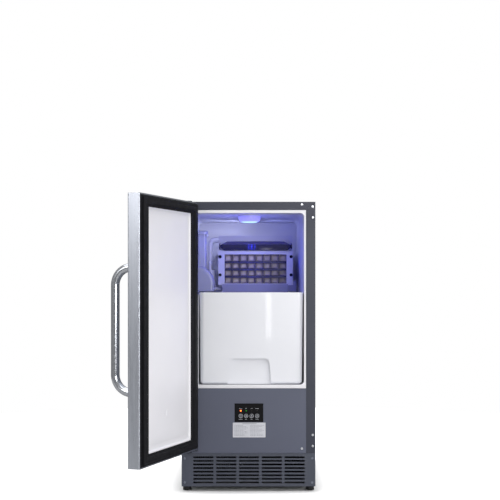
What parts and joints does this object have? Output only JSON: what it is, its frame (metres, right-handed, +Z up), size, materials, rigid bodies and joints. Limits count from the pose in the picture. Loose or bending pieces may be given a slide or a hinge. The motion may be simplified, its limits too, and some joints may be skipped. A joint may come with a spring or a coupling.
{
  "type": "undercounter ice maker",
  "caption": "Built-under clear ice maker with its door open: insulated compartment with ice bin, scoop and freezing grid over a grilled machine bay.",
  "frame": {"origin": "on the floor, under the middle of the cabinet's front face", "axes": "+X to the right, +Y back into the cabinet, +Z up; the door stands open at rest"},
  "size_m": [0.5367, 0.9435, 0.812],
  "materials": {
    "cabinet_paint": "dark grey satin paint on steel sheet",
    "galvanised_sheet": "galvanised sheet",
    "foam": "rigid insulating foam",
    "liner_plastic": "white vacuum-formed liner",
    "trim_plastic": "white extruded trim",
    "display_glass": "glossy black window",
    "button_plastic": "black button with a pale ring",
    "circuit_board": "green circuit board",
    "lens_amber": "small indicator lens",
    "label_paper": "printed paper label",
    "dark_screw": "dark painted screw",
    "zinc_plate": "bright zinc plating",
    "stainless_sheet": "brushed stainless sheet",
    "polished_steel": "polished stainless tube",
    "door_liner_plastic": "white inner door panel",
    "gasket_rubber": "black magnetic gasket",
    "nylon": "nylon bush",
    "bin_plastic": "white moulded bin",
    "scoop_plastic": "translucent moulded plastic",
    "white_moulding": "pale moulded plastic",
    "lamp_lens": "frosted lens lit blue from inside",
    "copper": "tinned copper",
    "cover_plastic": "glossy dark cover",
    "hose_silicone": "white silicone hose",
    "pump_plastic": "grey moulded plastic",
    "fin_aluminium": "aluminium fins",
    "black_paint": "black paint",
    "leg_plastic": "black moulded foot"
  },
  "bodies": {
    "cabinet": {"side_panel_left": "cabinet_paint", "side_panel_right": "cabinet_paint", "top_panel": "cabinet_paint", "rear_panel": "galvanised_sheet", "base_pan": "galvanised_sheet", "leg_sockets": "galvanised_sheet", "compartment_deck": "galvanised_sheet", "insulation_foam": "foam", "inner_liner": "liner_plastic", "liner_trim": "trim_plastic", "control_panel": "cabinet_paint", "display_window": "display_glass", "control_board": "circuit_board", "indicator_lenses": "lens_amber", "instruction_label": "label_paper", "grille": "cabinet_paint", "grille_screws": "dark_screw", "flange_screws": "zinc_plate", "hinge_bracket_upper": "zinc_plate", "hinge_bracket_lower": "zinc_plate", "hinge_pins": "zinc_plate", "scoop_holder": "white_moulding", "lamp_base": "white_moulding", "lamp_lens": "lamp_lens", "bin_sensor": "white_moulding", "evaporator_frame": "white_moulding", "evaporator_grid": "copper", "evaporator_coil": "copper", "water_distributor": "white_moulding", "water_trough": "white_moulding", "circulation_pump": "pump_plastic", "pump_hose": "hose_silicone", "condenser": "fin_aluminium", "fan_shroud": "galvanised_sheet", "fan_motor": "black_paint", "compressor": "black_paint", "filter_drier": "copper", "refrigerant_lines": "copper", "inlet_valve": "pump_plastic", "drain_fitting": "pump_plastic", "cord_gland": "pump_plastic"},
    "door": {"door_skin": "stainless_sheet", "door_foam": "foam", "door_liner": "door_liner_plastic", "door_gasket": "gasket_rubber", "door_handle": "polished_steel", "door_bushes": "nylon"},
    "bin": {"ice_bin": "bin_plastic"},
    "scoop": {"ice_scoop": "scoop_plastic"},
    "cover": {"distributor_cover": "cover_plastic"},
    "fan": {"fan_rotor": "pump_plastic"},
    "float": {"float_ring": "white_moulding"},
    "button_1": {"button_1": "button_plastic"},
    "button_2": {"button_2": "button_plastic"},
    "button_3": {"button_3": "button_plastic"},
    "button_4": {"button_4": "button_plastic"},
    "leg_front_left": {"leg_front_left": "leg_plastic"},
    "leg_front_right": {"leg_front_right": "leg_plastic"},
    "leg_rear_left": {"leg_rear_left": "leg_plastic"},
    "leg_rear_right": {"leg_rear_right": "leg_plastic"}
  },
  "joints": [
    {"name": "door_hinge", "type": "hinge", "parent": "cabinet", "child": "door", "pos_m": [-0.1685, -0.03, 0], "axis": [0, 0, -1], "range_deg": [-110, 10]},
    {"name": "bin_slide", "type": "slide", "parent": "cabinet", "child": "bin", "axis": [0, -1, 0], "range_m": [0, 0.38]},
    {"name": "scoop_lift", "type": "slide", "parent": "cabinet", "child": "scoop", "axis": [0, 0, 1], "range_m": [0, 0.03]},
    {"name": "cover_lift", "type": "hinge", "parent": "cabinet", "child": "cover", "pos_m": [0, 0.306, 0.698], "axis": [-1, 0, 0], "range_deg": [0, 45]},
    {"name": "fan_spin", "type": "hinge", "parent": "cabinet", "child": "fan", "pos_m": [-0.06, 0.117, 0.11], "axis": [0, 1, 0], "continuous": true},
    {"name": "float_rise", "type": "slide", "parent": "cabinet", "child": "float", "axis": [0, 0, 1], "range_m": [0, 0.0065]},
    {"name": "button_1_press", "type": "slide", "parent": "cabinet", "child": "button_1", "axis": [0, 1, 0], "range_m": [0, 0.0007], "stiffness_N_per_m": 1200},
    {"name": "button_2_press", "type": "slide", "parent": "cabinet", "child": "button_2", "axis": [0, 1, 0], "range_m": [0, 0.0007], "stiffness_N_per_m": 1200},
    {"name": "button_3_press", "type": "slide", "parent": "cabinet", "child": "button_3", "axis": [0, 1, 0], "range_m": [0, 0.0007], "stiffness_N_per_m": 1200},
    {"name": "button_4_press", "type": "slide", "parent": "cabinet", "child": "button_4", "axis": [0, 1, 0], "range_m": [0, 0.0007], "stiffness_N_per_m": 1200},
    {"name": "leg_front_left_turn", "type": "hinge", "parent": "cabinet", "child": "leg_front_left", "pos_m": [-0.1736, 0.03, 0.02], "axis": [0, 0, 1], "range_deg": [0, 1800]},
    {"name": "leg_front_right_turn", "type": "hinge", "parent": "cabinet", "child": "leg_front_right", "pos_m": [0.1736, 0.03, 0.02], "axis": [0, 0, 1], "range_deg": [0, 1800]},
    {"name": "leg_rear_left_turn", "type": "hinge", "parent": "cabinet", "child": "leg_rear_left", "pos_m": [-0.1736, 0.51, 0.02], "axis": [0, 0, 1], "range_deg": [0, 1800]},
    {"name": "leg_rear_right_turn", "type": "hinge", "parent": "cabinet", "child": "leg_rear_right", "pos_m": [0.1736, 0.51, 0.02], "axis": [0, 0, 1], "range_deg": [0, 1800]}
  ]
}
